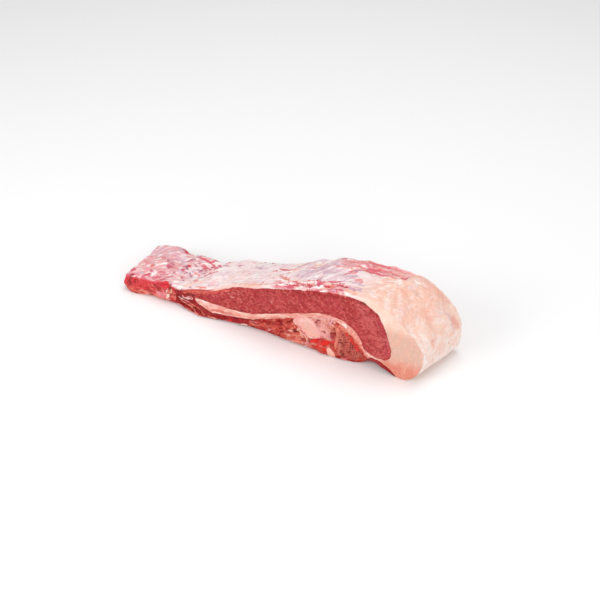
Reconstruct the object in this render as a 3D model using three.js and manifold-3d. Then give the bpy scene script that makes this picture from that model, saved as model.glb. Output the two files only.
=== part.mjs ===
// A strip of bone-in beef brisket, sawn across the breast: thin at the rib end, thick at the breastbone end.
// Millimetres, +Z up. X runs along the strip towards the thick end, and Y from the front sawn face to the
// back one. The sawn faces show the layers, and each layer runs through the strip as a solid of its own.
import * as THREE from "three";
import { mergeVertices } from "three/addons/utils/BufferGeometryUtils.js";
import Module from "manifold-3d";

const wasm = await Module();
wasm.setup();
const { Manifold, Mesh } = wasm;
const { lerp, clamp, smoothstep } = THREE.MathUtils;

// Driving dimensions
const stripDepth = 79; // from the front sawn face to the back one
const crownHeight = 95; // of the front face over the breastbone
const thinHeight = 20.5; // of the rib end
const thinX = -197; // the rib end's top corner
const thickX = 201; // the breastbone end's top corner
const endSlant = 16; // how much further the thick end reaches at the back
const footSlant = 8; // and more than that where it stands on the table
const thinSlant = 4; // how much further the thin end reaches at the back
const layerGap = 0.3; // between neighbouring layers

// How finely the solids are divided
const lengthSteps = 56; // of the strip, along X
const depthSteps = 10; // along Y
const heightSteps = 7; // along Z
const layerSteps = 4; // of a layer's cutter, along Y
const lineSteps = 2; // between two points of a layer's outline
const roundSteps = 16; // round the small cartilage

// Heights of the top surface along the front face and along the back face: [x, z]
const crownFront = [
  [thinX, thinHeight], [-178, 22.5], [-158, 24], [-143, 29], [-134, 31], [-124, 26], [-112, 28.5], [-92, 36],
  [-70, 42.5], [-45, 55], [-20, 63], [10, 73.5], [40, 81.5], [72, 88.5], [100, 94], [122, crownHeight],
  [142, 93], [160, 85], [179, 71], [193, 58], [thickX, 46],
];
const crownBack = [
  [thinX - thinSlant, 18], [-180, 24], [-163, 25], [-149, 21], [-130, 24.5], [-114, 23], [-102, 20.5],
  [-88, 29], [-66, 38], [-42, 43.5], [-12, 50], [12, 59], [36, 70], [62, 81], [92, 87], [130, 90], [162, 90],
  [184, 80], [199, 68], [210, 57], [thickX + endSlant, 46],
];

// The front face's other three edges. The base arches off the table beside the breastbone.
const baseLine = [
  [-187, 0], [-60, 0], [60, 0], [121, 0], [134, 4], [149, 5.5], [162, 3.5], [171, 0], [184, 0],
];
const thinEnd = [[-187, 0], [-198, 5], [-200, 12], [thinX, thinHeight]];
const thickEnd = [[184, 0], [195, 8], [200.5, 20], [202.5, 33], [thickX, 46]];

// Where along X each end starts to slant, and the height up to which the thick end's foot does
const thickSlantFrom = [60, 150];
const thinSlantFrom = [-195, -150];
const footFrom = [135, 190];
const footUpTo = [-5, 40];

// Swells of the sawn faces: [x, z, reach in x, reach in z, rise]
const frontSwells = [
  [-186, 5, 16, 12, 5],
  [-136, 22, 9, 9, 3],
  [-122, 14, 6, 14, -3.5],
  [-82, 0, 30, 8, 7],
  [-30, 16, 40, 6, 2],
  [-8, 4, 22, 12, -3],
  [58, 31, 18, 14, 1.5],
  [88, 2, 16, 12, 4],
  [137, 3, 15, 11, -8],
  [150, 45, 26, 30, 2],
  [184, 4, 14, 14, 1],
];
const backSwells = [
  [-170, 8, 24, 12, 3],
  [-100, 6, 14, 12, -3],
  [-40, 20, 40, 16, 3],
  [40, 30, 36, 20, -2],
  [110, 20, 24, 24, 4],
  [160, 60, 30, 26, 2.5],
];
const faceReach = 16; // how deep into the strip a swell of a face is felt
const faceRipple = 0.5;

// Swells and hollows of the top: [x, y, reach in x, reach in y, rise]
const topSwells = [
  [-168, 28, 20, 22, 2.2],
  [-150, 66, 16, 12, 2.4],
  [-76, 40, 22, 26, 2.6],
  [22, 26, 30, 16, 1.6],
  [66, 62, 26, 12, 3],
  [88, 40, 22, 10, -0.9],
  [126, 60, 16, 14, -1.6],
  [150, 34, 18, 22, 2.4],
  [184, 52, 14, 22, 2.2],
];
const topRipple = 0.7;
const topFade = [-0.05, 0.3]; // shares of the depth over which the top's swells fade in from the front face
const backFade = [0.75, 1.05]; // and out towards the back one

// A crease crosses the top between the rib end and the rest, from the front edge to the back one
const creaseFront = -124;
const creaseBack = -100;
const creaseDeep = 3.4;
const creaseReach = 8;

// Shallow hollows run along the underside, between the flat strips that it stands on
const hollowPitch = 39;
const hollowDeep = 2.4;
const hollowShare = 0.35; // of each wave stays flat
const stripY = 20; // Y of the first flat strip's middle
const hollowFrom = [-185, -150];
const hollowTo = [90, 125];

// Layer outlines on the front face: [x, z]
const pectoralLine = [
  [-117, 21.5], [-98, 27.5], [-78, 35], [-58, 44], [-42, 54], [-20, 60.5], [8, 69], [36, 76.5], [66, 83.5],
  [94, 89.5], [116, 91], [130, 88], [145, 79], [155, 64.5], [161.3, 47], [165, 31], [163, 21.5],
  [153, 18.5], [141, 18.5], [134.5, 21.5], [129.5, 31.5], [122, 44], [110, 53], [96, 57.3], [76, 56.5],
  [56, 50], [30, 40.5], [4, 31.5], [-18, 23.5], [-50, 21.5], [-85, 20.5],
];
const seamLine = [
  [-97, 23], [-95, 16.5], [-88, 13], [-80, 10], [-70, 8.5], [-56, 9.5], [-40, 11.5], [-22, 14.5], [-8, 19],
  [8, 25.5], [30, 33.5], [56, 44.5], [75, 50.5], [91, 52.5], [102, 49.5], [110, 44], [117.5, 37], [124.5, 29],
  [131, 22], [132.5, 13], [135, 8], [141, 7.5], [147, 12], [147, 19], [139, 28], [130, 44], [112, 60],
  [90, 64], [60, 58], [0, 38], [-50, 26],
];
const boneLine = [
  [99.3, 7], [98.8, 22], [101, 36], [105, 41.5], [111, 38.5], [118, 31], [125, 24], [128.5, 16], [128, 8.5],
  [120, 4.5], [108, 3.5],
];
const cartilageLine = [
  [40.5, 35], [47, 42], [58, 44.5], [66, 43.5], [71, 35], [80, 25], [72, 18.5], [61, 16.5], [51, 23],
];
const tailLine = [
  [137, 13], [146, 14.5], [156, 12.5], [166, 6], [172, 1], [170, -6], [140, -6], [134, 2], [133, 9],
];

// The small cartilage at the table is a tilted ellipse
const tipCentre = [91.5, 5.2];
const tipHalf = [8.6, 3.9];
const tipTurn = -1.05; // radians

// The blocks under the seam fat reach from one of these to the next, and from below the table up to here
const thinEndOut = -240; // past the thin end
const endX = -125; // the rib end's muscle meets the dark one between the ribs
const ribX = -21; // which meets the rib meat here
const ribEndX = 134;
const tableOut = -12; // below the table
const coverThick = 3; // fat and silverskin over the rib end
const seamMiddle = [[-125, 22], [-98, 24], [-22, 30], [60, 50], [95, 54], [125, 32], [134, 14]];
const blockStep = 8;

const cutterOut = 15; // of a layer's cutter past each sawn face
const sharpest = 0.3; // limits how far a sharp corner moves when an outline is widened

const raw = { muscle: 0xb23a45, fat: 0xf0d8c6, bone: 0xd9a9a0 };

// z at x on a list of knots, by smooth Hermite pieces
function height(knots, x) {
  const last = knots.length - 1;
  if (x <= knots[0][0]) return knots[0][1];
  if (x >= knots[last][0]) return knots[last][1];
  const i = knots.findIndex((k) => k[0] > x) - 1;
  const slope = (n) => {
    const before = knots[Math.max(n - 1, 0)];
    const after = knots[Math.min(n + 1, last)];
    return (after[1] - before[1]) / (after[0] - before[0]);
  };
  const span = knots[i + 1][0] - knots[i][0];
  const t = (x - knots[i][0]) / span;
  const bend = span * t * (1 - t) * ((1 - t) * slope(i) - t * slope(i + 1));
  return lerp(knots[i][1], knots[i + 1][1], t * t * (3 - 2 * t)) + bend;
}

const bump = (distance, reach) => Math.exp(-((distance / reach) ** 2));

// The sum of a list of swells at a point of a face
function swell(list, a, b) {
  const rises = list.map(([x, y, reachX, reachY, rise]) => rise * bump(a - x, reachX) * bump(b - y, reachY));
  return rises.reduce((sum, rise) => sum + rise, 0);
}

// Small uneven waves, from -1 to 1
const ripple = (x, y) => Math.sin(x / 7.3 + y / 11) * Math.sin(y / 6.1 - x / 17 + 1.3);

// How far a point of the front face has moved along X by the back face
function slant(x) {
  return endSlant * smoothstep(x, ...thickSlantFrom) - thinSlant * (1 - smoothstep(x, ...thinSlantFrom));
}

// How far the foot of the thick end has moved further
function footReach(x, z) {
  return footSlant * smoothstep(x, ...footFrom) * (1 - smoothstep(z, ...footUpTo));
}

// Height of the top over the front face's x, at the share v of the depth, without its swells
function plainCrown(x, v) {
  return lerp(height(crownFront, x), height(crownBack, x + slant(x)), v);
}

// And with them
function crown(x, v) {
  const xHere = x + v * slant(x);
  const y = v * stripDepth;
  const inward = smoothstep(v, ...topFade) * (1 - smoothstep(v, ...backFade));
  const crease = creaseDeep * bump(xHere - lerp(creaseFront, creaseBack, v), creaseReach);
  return plainCrown(x, v) + inward * (swell(topSwells, xHere, y) + topRipple * ripple(xHere, y) - crease);
}

// Carries a point of the straight strip, which has the front face's section all along, under another top
function carry(x, z, v, top) {
  const share = top(x, clamp(v, 0, 1)) / height(crownFront, x);
  return [x + v * (slant(x) + footReach(x, z)), z * share];
}

// How far the underside is lifted off the table
function hollow(x, y) {
  const wave = 0.5 - 0.5 * Math.cos((2 * Math.PI * (y - stripY)) / hollowPitch);
  const within = smoothstep(x, ...hollowFrom) * (1 - smoothstep(x, ...hollowTo));
  return hollowDeep * within * Math.max(0, wave - hollowShare);
}

function asSolid(geometry) {
  geometry.deleteAttribute("normal");
  geometry.deleteAttribute("uv");
  const merged = mergeVertices(geometry, 1e-4);
  const vertProperties = new Float32Array(merged.attributes.position.array);
  const triVerts = new Uint32Array(merged.index.array);
  return new Manifold(new Mesh({ numProp: 3, vertProperties, triVerts }));
}

function asGeometry(solid) {
  const mesh = solid.getMesh();
  const geometry = new THREE.BufferGeometry();
  geometry.setAttribute("position", new THREE.BufferAttribute(new Float32Array(mesh.vertProperties), 3));
  geometry.setIndex(new THREE.BufferAttribute(new Uint32Array(mesh.triVerts), 1));
  geometry.computeVertexNormals();
  return geometry;
}

const asVectors = (points) => points.map(([x, z]) => new THREE.Vector2(x, z));

// A face stretched between four edges: the point at the share u from the thin end and w from the base
function makeFace() {
  const [base, top, thin, thick] = [baseLine, crownFront, thinEnd, thickEnd].map(
    (line) => new THREE.SplineCurve(asVectors(line)),
  );
  return (u, w) => {
    const [low, high] = [base.getPointAt(u), top.getPointAt(u)];
    const [left, right] = [thin.getPointAt(w), thick.getPointAt(w)];
    const corners = base.points[0].clone().lerp(top.points[0], w);
    corners.lerp(base.points.at(-1).clone().lerp(top.points.at(-1), w), u);
    return low.lerp(high, w).add(left.lerp(right, u)).sub(corners);
  };
}

// The whole strip, from a finely divided box
function makeStrip() {
  const face = makeFace();
  const geometry = new THREE.BoxGeometry(1, 1, 1, lengthSteps, depthSteps, heightSteps);
  const position = geometry.attributes.position;
  for (let i = 0; i < position.count; i++) {
    const [u, v, w] = position.array.slice(3 * i, 3 * i + 3).map((part) => part + 0.5);
    const { x, y: z } = face(u, w);
    const front = swell(frontSwells, x, z) + faceRipple * ripple(x, 1.7 * z + 40);
    const back = swell(backSwells, x, z) + faceRipple * ripple(x + 30, 1.7 * z);
    const depth = v * stripDepth;
    const y = depth - bump(depth, faceReach) * front + bump(stripDepth - depth, faceReach) * back;
    const [xHere, zHere] = carry(x, z, v, crown);
    position.setXYZ(i, xHere, y, Math.max(zHere, 0) + (w === 0 ? hollow(xHere, y) : 0));
  }
  return asSolid(geometry);
}

// A closed outline moved outwards by a distance, corners kept, very sharp ones less far out
function widen(points, distance) {
  const turning = Math.sign(THREE.ShapeUtils.area(asVectors(points)));
  const outwards = (from, to) => {
    const along = new THREE.Vector2(to[0] - from[0], to[1] - from[1]).normalize();
    return new THREE.Vector2(turning * along.y, -turning * along.x);
  };
  return points.map((point, i) => {
    const before = outwards(points.at(i - 1), point);
    const after = outwards(point, points[(i + 1) % points.length]);
    const reach = distance / Math.max(1 + before.dot(after), sharpest);
    return [point[0] + reach * (before.x + after.x), point[1] + reach * (before.y + after.y)];
  });
}

// A layer's cutter: its outline on the front face, run through the strip as the strip itself changes
function makeCutter(points) {
  const depth = stripDepth + 2 * cutterOut;
  const shape = new THREE.Shape(asVectors(points));
  const geometry = new THREE.ExtrudeGeometry(shape, { depth, steps: layerSteps, bevelEnabled: false });
  geometry.rotateX(Math.PI / 2).translate(0, stripDepth + cutterOut, 0);
  const position = geometry.attributes.position;
  for (let i = 0; i < position.count; i++) {
    const v = position.getY(i) / stripDepth;
    const [x, z] = carry(position.getX(i), position.getZ(i), v, plainCrown);
    position.setX(i, x);
    position.setZ(i, z);
  }
  return asSolid(geometry);
}

// A smooth closed outline through the points given
function smoothLine(points) {
  const around = new THREE.CatmullRomCurve3(points.map(([x, z]) => new THREE.Vector3(x, z, 0)), true);
  const steps = points.length * lineSteps;
  return around.getSpacedPoints(steps).slice(1).map((p) => [p.x, p.y]);
}

function ellipseLine([x, z], [long, short], turn) {
  const ellipse = new THREE.EllipseCurve(x, z, long, short, 0, 2 * Math.PI, false, turn);
  return ellipse.getPoints(roundSteps).slice(1).map((p) => [p.x, p.y]);
}

// A block from below the table up to a height that changes along X
function blockLine(xLow, xHigh, zHigh) {
  const count = Math.round((xHigh - xLow) / blockStep);
  const tops = Array.from({ length: count + 1 }, (_, i) => lerp(xHigh, xLow, i / count));
  return [[xLow, tableOut], [xHigh, tableOut], ...tops.map((x) => [x, zHigh(x)])];
}

const underCover = (x) => height(crownFront, x) - coverThick;
const underSeam = (x) => height(seamMiddle, x);

// Each layer takes what the layers before it have left, and the fat keeps the rest
const layers = [
  ["breastbone", smoothLine(boneLine), raw.bone],
  ["rib_cartilage", smoothLine(cartilageLine), raw.bone],
  ["cartilage_tip", ellipseLine(tipCentre, tipHalf, tipTurn), raw.bone],
  ["deep_pectoral", smoothLine(pectoralLine), raw.muscle],
  ["tail_muscle", smoothLine(tailLine), raw.muscle],
  ["end_muscle", blockLine(thinEndOut, endX, underCover), raw.muscle],
  ["seam_fat", smoothLine(seamLine), raw.fat],
  ["intercostal_muscle", blockLine(endX, ribX, underSeam), raw.muscle],
  ["rib_meat", blockLine(ribX, ribEndX, underSeam), raw.muscle],
];

const brisket = new THREE.Group();

// Adds a layer without the loose scraps that its cutting may leave
function addLayer(name, solid, color) {
  const body = solid.decompose().reduce((most, next) => (next.volume() > most.volume() ? next : most));
  const finish = new THREE.MeshStandardMaterial({ color, roughness: 0.4, metalness: 0 });
  const mesh = new THREE.Mesh(asGeometry(body), finish);
  mesh.name = name;
  brisket.add(mesh);
}

let left = makeStrip();
for (const [name, outline, color] of layers) {
  addLayer(name, left.intersect(makeCutter(outline)), color);
  left = left.subtract(makeCutter(widen(outline, layerGap)));
}
addLayer("fat_cap", left, raw.fat);

// The origin is under the middle of the strip
const box = new THREE.Box3().setFromObject(brisket);
const centre = box.getCenter(new THREE.Vector3());
for (const mesh of brisket.children) mesh.geometry.translate(-centre.x, -centre.y, -box.min.z);

export default brisket;
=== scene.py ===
import math
import random

import bpy
import numpy as np
from mathutils import Matrix, Vector, noise
from mathutils.bvhtree import BVHTree


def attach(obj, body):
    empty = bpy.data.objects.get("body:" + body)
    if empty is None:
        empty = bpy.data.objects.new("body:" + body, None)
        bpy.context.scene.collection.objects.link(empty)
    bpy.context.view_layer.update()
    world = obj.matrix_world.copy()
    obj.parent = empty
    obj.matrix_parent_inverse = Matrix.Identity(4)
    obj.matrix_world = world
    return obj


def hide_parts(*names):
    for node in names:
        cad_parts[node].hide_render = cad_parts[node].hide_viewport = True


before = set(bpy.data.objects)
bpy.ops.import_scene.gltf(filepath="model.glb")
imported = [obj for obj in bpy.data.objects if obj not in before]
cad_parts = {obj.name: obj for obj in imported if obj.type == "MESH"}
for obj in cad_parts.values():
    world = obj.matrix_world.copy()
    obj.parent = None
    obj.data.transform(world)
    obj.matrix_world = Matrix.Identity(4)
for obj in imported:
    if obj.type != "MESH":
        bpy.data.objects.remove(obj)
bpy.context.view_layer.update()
mm = 0.001

# Where the strip lies in the frame, in millimetres. A place on it is told by its x along the front face,
# its depth behind that face and its height over the table.
strip = {
    "xOffset": 7.94,
    "depthOffset": 38.04,
    "depth": 79,
    "thickSlant": 16, "thickSlantFrom": (60, 150),  # the thick end reaches further at the back
    "thinSlant": 4, "thinSlantFrom": (-195, -150),
    "footSlant": 8, "footSlantFrom": (135, 190), "footUpTo": (-5, 40),
}

# Colours as they look in white light, red green blue out of 255
shades = {
    "lean": (188, 68, 70),
    "leanLight": (208, 98, 94),
    "leanDark": (156, 42, 48),
    "leanPlum": (172, 56, 72),
    "leanPink": (206, 108, 110),
    "meat": (196, 78, 68),
    "rim": (220, 98, 84),
    "maroon": (126, 22, 32),
    "blood": (162, 42, 46),
    "bright": (216, 56, 64),
    "marrow": (232, 56, 50),
    "salmon": (230, 134, 116),
    "rosy": (222, 98, 112),
    "pink": (236, 150, 154),
    "palePink": (244, 194, 188),
    "lilac": (212, 176, 190),
    "mauve": (176, 106, 130),
    "magenta": (208, 92, 118),
    "blush": (240, 178, 184),
    "veil": (250, 226, 226),
    "white": (255, 244, 241),
    "cream": (250, 214, 198),
    "peach": (244, 180, 158),
    "beige": (222, 180, 163),
    "orange": (224, 140, 118),
    "ochre": (232, 192, 156),
    "seam": (231, 160, 147),
    "bone": (176, 73, 67),
    "gristle": (236, 174, 162),
}
gloss = 0.024  # what the wet surface adds to each colour, so what its paint leaves off


def linear(shade):
    parts = [part / 255 for part in shades[shade]]
    return [max(((p + 0.055) / 1.055) ** 2.4 - gloss, 0.002) for p in parts]


def smooth(value, low, high):
    share = np.clip((value - low) / (high - low), 0, 1)
    return share * share * (3 - 2 * share)


def stripPlaces(points):
    x = points[:, 0] / mm + strip["xOffset"]
    depth = points[:, 1] / mm + strip["depthOffset"]
    high = points[:, 2] / mm
    share = np.clip(depth / strip["depth"], 0, 1)
    along = x
    for _ in range(4):
        thick = strip["thickSlant"] * smooth(along, *strip["thickSlantFrom"])
        thin = strip["thinSlant"] * (1 - smooth(along, *strip["thinSlantFrom"]))
        foot = strip["footSlant"] * smooth(along, *strip["footSlantFrom"])
        foot = foot * (1 - smooth(high, *strip["footUpTo"]))
        along = x - share * (thick - thin + foot)
    return along, depth, high


def cloud(points, size, stretch=(1, 1, 1), seed=0):  # a smooth random field, lumps of that size in mm
    spots = points / (mm * size * np.array(stretch)) + 31.7 * seed
    return np.array([noise.noise(spot) for spot in spots.tolist()])


# Each layer has its node, slot and ground shade, and what is drawn on its sawn faces, all lengths in mm.
# Strokes of colour and relief go between two points: x, height, x, height, half width, shade, strength, rise.
# Mottles are short strokes at random places under them: count, range of x, range of height, turn in degrees,
# length, half width, shades, strength, rise. Grounds are broad strokes under those, and zones soft washes of
# the paint itself: x, height, x, height, half width, shade, strength
endMuscle = {"node": "end_muscle", "slot": "bright_muscle", "shade": "bright"}
endMuscle["strokes"] = [
    (-196, 17, -198.7, 9, 2.0, "bright", 0.9, 0.4),
    (-188.8, 21, -190, 11.5, 1.9, "maroon", 0.8, -1.0),
    (-192, 12, -193, 5, 1.4, "blood", 0.5, -0.4),
    (-182, 19.5, -184.5, 13, 1.4, "blood", 0.75, -0.6),
    (-180, 17, -160, 17, 2.6, "bright", 0.6, 0.4),
    (-176, 12, -166, 12, 1.4, "blood", 0.5, -0.4),
    (-164.7, 18.2, -154.3, 9.4, 1.5, "rim", 0.75, 0.5),
    (-159, 20, -148, 10, 1.2, "salmon", 0.6, 0.5),
    (-155, 16.5, -150, 17, 2.6, "blood", 0.85, -0.8),
    (-150, 20, -144, 17, 1.5, "bright", 0.6, 0.2),
    (-143, 23, -133, 27, 3.8, "bright", 0.95, 1.2),
    (-147, 19, -142, 17, 1.3, "maroon", 0.6, -0.7),
    (-130.6, 18, -130.4, 27, 1.4, "maroon", 0.85, -1.2),
    (-142.2, 20.9, -139.2, 16, 0.9, "palePink", 0.9, 0.6),
    (-133.5, 22.3, -137, 15.5, 1.0, "palePink", 0.85, 0.8),
    (-128.1, 23, -130.2, 15, 1.3, "ochre", 0.9, 0.9),
    (-140, 14, -134, 13, 1.2, "palePink", 0.7, 0.5),
    (-132.2, 13.4, -136.5, 6.4, 2.0, "cream", 0.95, 1.2),
    (-137, 5.6, -131.5, 5, 1.2, "cream", 0.8, 0.5),
    (-126, 10, -125.5, 6, 1.0, "palePink", 0.7, 0.4),
    (-128.2, 8.8, -127.6, 8.2, 1.8, "marrow", 0.8, 0.6),
    (-131.7, 18.3, -131.5, 17.5, 1.2, "salmon", 0.7, 0.2),
    (-144.8, 9.8, -143, 8.2, 1.2, "mauve", 0.6, 0.2),
    (-150, 12, -146, 2.5, 2.2, "pink", 0.75, 0.4),
    (-154, 6, -150, 1, 1.4, "salmon", 0.6, 0.3),
    (-178, 7, -165, 6.2, 1.6, "salmon", 0.85, 0.5),
    (-170, 3, -156, 6, 1.0, "palePink", 0.5, 0.4),
    (-161, 3.6, -159, 4.2, 1.5, "maroon", 0.85, -0.9),
    (-141.7, 2.2, -138.5, 1.4, 1.4, "blood", 0.75, -0.3),
    (-135.7, 1.6, -127, 3.6, 1.6, "leanPlum", 0.75, 0.1),
    (-186, -1, -180, 1, 1.8, "blood", 0.6, -0.5),
]
endMuscle["zones"] = [
    (-198, 4, -176, 2, 6, "rim", 0.9),
    (-176, 2, -128, 1, 6, "salmon", 0.75),
    (-150, 8, -132, 12, 5, "pink", 0.5),
    (-133, 19, -124, 8, 4.5, "salmon", 0.8),
]
endMuscle["grounds"] = [
    (-176, 1, -130, 0, 3.6, "salmon", 0.6, 0),
    (-150, 7, -134, 8, 4, "pink", 0.55, 0),
]
darkMuscle = {"node": "intercostal_muscle", "slot": "dark_muscle", "shade": "blood"}
darkMuscle["strokes"] = [
    (-123, 20, -104, 23, 1.6, "maroon", 0.7, -0.6),
    (-122, 15.5, -119, 15.5, 2.0, "maroon", 0.8, -1.0),
    (-118, 14.3, -100, 14.2, 0.9, "maroon", 0.8, -0.7),
    (-119, 6.2, -104, 5.6, 0.9, "maroon", 0.8, -0.8),
    (-104, 5.4, -93, 3.2, 0.8, "maroon", 0.7, -0.7),
    (-98, 13.5, -88, 10.5, 2.2, "blood", 0.7, 0.5),
    (-93.5, 13.4, -91.5, 12.6, 1.3, "leanPlum", 0.8, 0.3),
    (-121, 11.7, -111, 12.8, 1.1, "palePink", 0.95, 0.9),
    (-111, 12.8, -103, 11.5, 1.1, "pink", 0.9, 0.9),
    (-115, 16.5, -98.5, 16.2, 1.2, "palePink", 0.9, 0.9),
    (-106, 19, -97, 18.6, 0.9, "pink", 0.7, 0.6),
    (-119, 9.6, -106, 8.8, 1.1, "salmon", 0.95, 0.9),
    (-106, 8.8, -96, 5.5, 1.1, "salmon", 0.95, 0.9),
    (-96, 5.5, -85.5, 1.8, 1.2, "salmon", 0.95, 0.9),
    (-85.5, 1.8, -76, 0.8, 1.1, "salmon", 0.9, 0.8),
    (-102, 10.2, -92, 8.8, 1.0, "salmon", 0.9, 0.8),
    (-92, 8.8, -84, 6.4, 1.0, "salmon", 0.85, 0.8),
    (-98, 7.8, -86, 4.6, 0.9, "maroon", 0.8, -0.6),
    (-86, 4.2, -74, 2.6, 0.9, "maroon", 0.7, -0.6),
    (-84, 6, -78, 3.5, 1.0, "salmon", 0.8, 0.6),
    (-124, 1.6, -110, 2.6, 1.5, "pink", 0.8, 0.6),
    (-110, 2.6, -97, 2.3, 1.6, "salmon", 0.9, 0.7),
    (-97, 2.3, -85, 0.5, 1.4, "pink", 0.85, 0.7),
    (-76, 8, -66, 5.5, 2.0, "maroon", 0.6, -0.5),
    (-58, 6.8, -48, 5.6, 1.6, "maroon", 0.6, -0.5),
    (-46, 8, -38, 9, 2.0, "leanPlum", 0.6, 0.3),
    (-40, 9.8, -36, 9.6, 1.4, "maroon", 0.7, -0.6),
    (-34, 7.4, -27, 6.4, 2.0, "leanPlum", 0.75, 0.4),
    (-29.5, 11.8, -27, 11, 1.4, "maroon", 0.8, -0.8),
    (-47, 3.6, -44, 3.4, 1.4, "bright", 0.7, 0.2),
    (-75, 3.5, -61, 1.6, 1.0, "salmon", 0.85, 0.8),
    (-66, 2, -62, 1.2, 0.9, "palePink", 0.7, 0.5),
    (-57, 2.4, -42, 1.4, 1.2, "pink", 0.9, 0.9),
    (-42, 1.6, -31, 2.4, 1.1, "palePink", 0.85, 0.8),
    (-31, 2.6, -22, 3.4, 1.3, "palePink", 0.95, 0.9),
]
deepMuscle = {"node": "deep_pectoral", "slot": "deep_muscle", "shade": "lean"}
deepMuscle["strokes"] = [
    (-118, 22.5, -96, 27.5, 2.0, "rim", 0.9, 0.2),
    (-96, 27.5, -78, 34.5, 2.2, "rim", 0.9, 0.3),
    (-78, 33.5, -58, 42.5, 2.6, "rim", 0.75, 0.2),
    (-58, 42.5, -42, 52, 2.0, "rim", 0.6, 0),
    (-74, 29, -64, 28, 3.5, "leanPlum", 0.6, 0),
    (-112, 20.5, -95, 23.2, 1.3, "maroon", 0.9, -0.8),
    (-95, 23.2, -82, 25, 1.2, "leanDark", 0.8, -0.5),
    # painted shadow: a dark line along the pectoral's lower border above the seam fat, laid on a groove
    (-38, 22.5, -14, 26.5, 1.5, "maroon", 0.6, -0.4),
    (-14, 27, 28, 38, 1.6, "leanDark", 0.5, -0.3),
    (28, 37, 56, 49, 1.8, "leanDark", 0.45, -0.3),
    (-46, 52, -38, 55, 1.4, "salmon", 0.6, 0),
    (40, 75, 118, 89, 2.6, "leanDark", 0.5, -0.2),
    (118, 89, 133, 85, 2.6, "maroon", 0.5, -0.2),
    (133, 85, 146, 76, 1.8, "leanDark", 0.5, -0.2),
    (146, 74, 158, 52, 3.2, "leanPlum", 0.45, 0),
    (157, 48, 161, 26, 2.6, "leanPlum", 0.5, 0),
    (138, 68, 150, 42, 4.5, "leanLight", 0.28, 0),
    (136, 23, 131, 31, 1.6, "blood", 0.55, -0.3),
    (131, 31, 122, 46, 1.2, "leanDark", 0.4, -0.2),
    (80, 75, 110, 76, 6, "leanPlum", 0.25, 0),
    (-20, 42, 20, 52, 6, "leanPlum", 0.25, 0),
]
deepMuscle["zones"] = [
    (-118, 22, -92, 26, 5, "rim", 0.9),
    (-96, 26, -66, 38, 4, "rim", 0.6),
    (126, 82, 158, 46, 12, "leanPink", 0.55),
    (157, 46, 150, 24, 9, "leanPink", 0.5),
]
deepMuscle["mottles"] = [
    (26, (-70, 20), (28, 60), (-40, 60), (0.5, 3), (0.5, 0.8),
     ["palePink", "rim"], (0.2, 0.6), 0.1),
    (16, (-56, -28), (38, 50), (0, 60), (0.5, 3), (0.5, 0.8),
     ["palePink", "salmon"], (0.35, 0.65), 0.2),
    (60, (-110, 160), (20, 92), (0, 40), (3, 14), (1.5, 4),
     ["leanDark", "leanPlum", "leanLight"], (0.1, 0.3), 0),
]
seamFat = {"node": "seam_fat", "slot": "seam_fat", "shade": "seam"}
seamFat["strokes"] = [
    (-95, 20, -74, 16, 2.4, "palePink", 0.6, 0.5),
    # painted highlight: a white line along the wedge's upper edge, over whitish fat
    (-95, 22, -70, 18.5, 1.2, "white", 0.6, 0.5),
    (-80, 11.5, -56, 10.5, 1.2, "rim", 0.5, -0.3),
    (-72, 13, -40, 14.5, 1.6, "leanPink", 0.6, -0.2),
    (-70, 12, -44, 14, 2.4, "salmon", 0.3, 0.2),
    (-44, 20, -20, 21.5, 1.3, "cream", 0.65, 0.3),
    (-40, 14, -12, 19, 1.4, "salmon", 0.5, 0),
    (-10, 24, 30, 37, 1.2, "cream", 0.5, 0.2),
    (0, 24, 40, 39, 0.9, "salmon", 0.6, -0.2),
    (60, 48, 92, 55, 1.4, "salmon", 0.4, 0),
    (96, 54, 110, 49, 2.4, "cream", 0.6, 0.5),
    (106, 49, 108, 48, 1.6, "white", 0.4, 0.5),
    (112, 46, 114, 45, 1.4, "ochre", 0.6, 0),
    (116, 44, 124, 34, 2.4, "peach", 0.5, 0.2),
    (124, 33, 130, 23, 2.2, "salmon", 0.7, 0.1),
    (130, 22, 134, 13, 2.4, "salmon", 0.7, 0),
    (134, 12, 142, 10, 2.0, "salmon", 0.6, 0),
    (119, 38, 127, 27, 0.8, "marrow", 0.5, -0.2),
]
seamFat["zones"] = [
    (-98, 20, -60, 15, 4, "palePink", 0.5),
    (-60, 15, -10, 18, 3, "peach", 0.4),
    (112, 46, 132, 22, 5, "salmon", 0.75),
    (124, 30, 136, 12, 4, "rim", 0.35),
]
ribMeat = {"node": "rib_meat", "slot": "rib_meat", "shade": "meat"}
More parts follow.
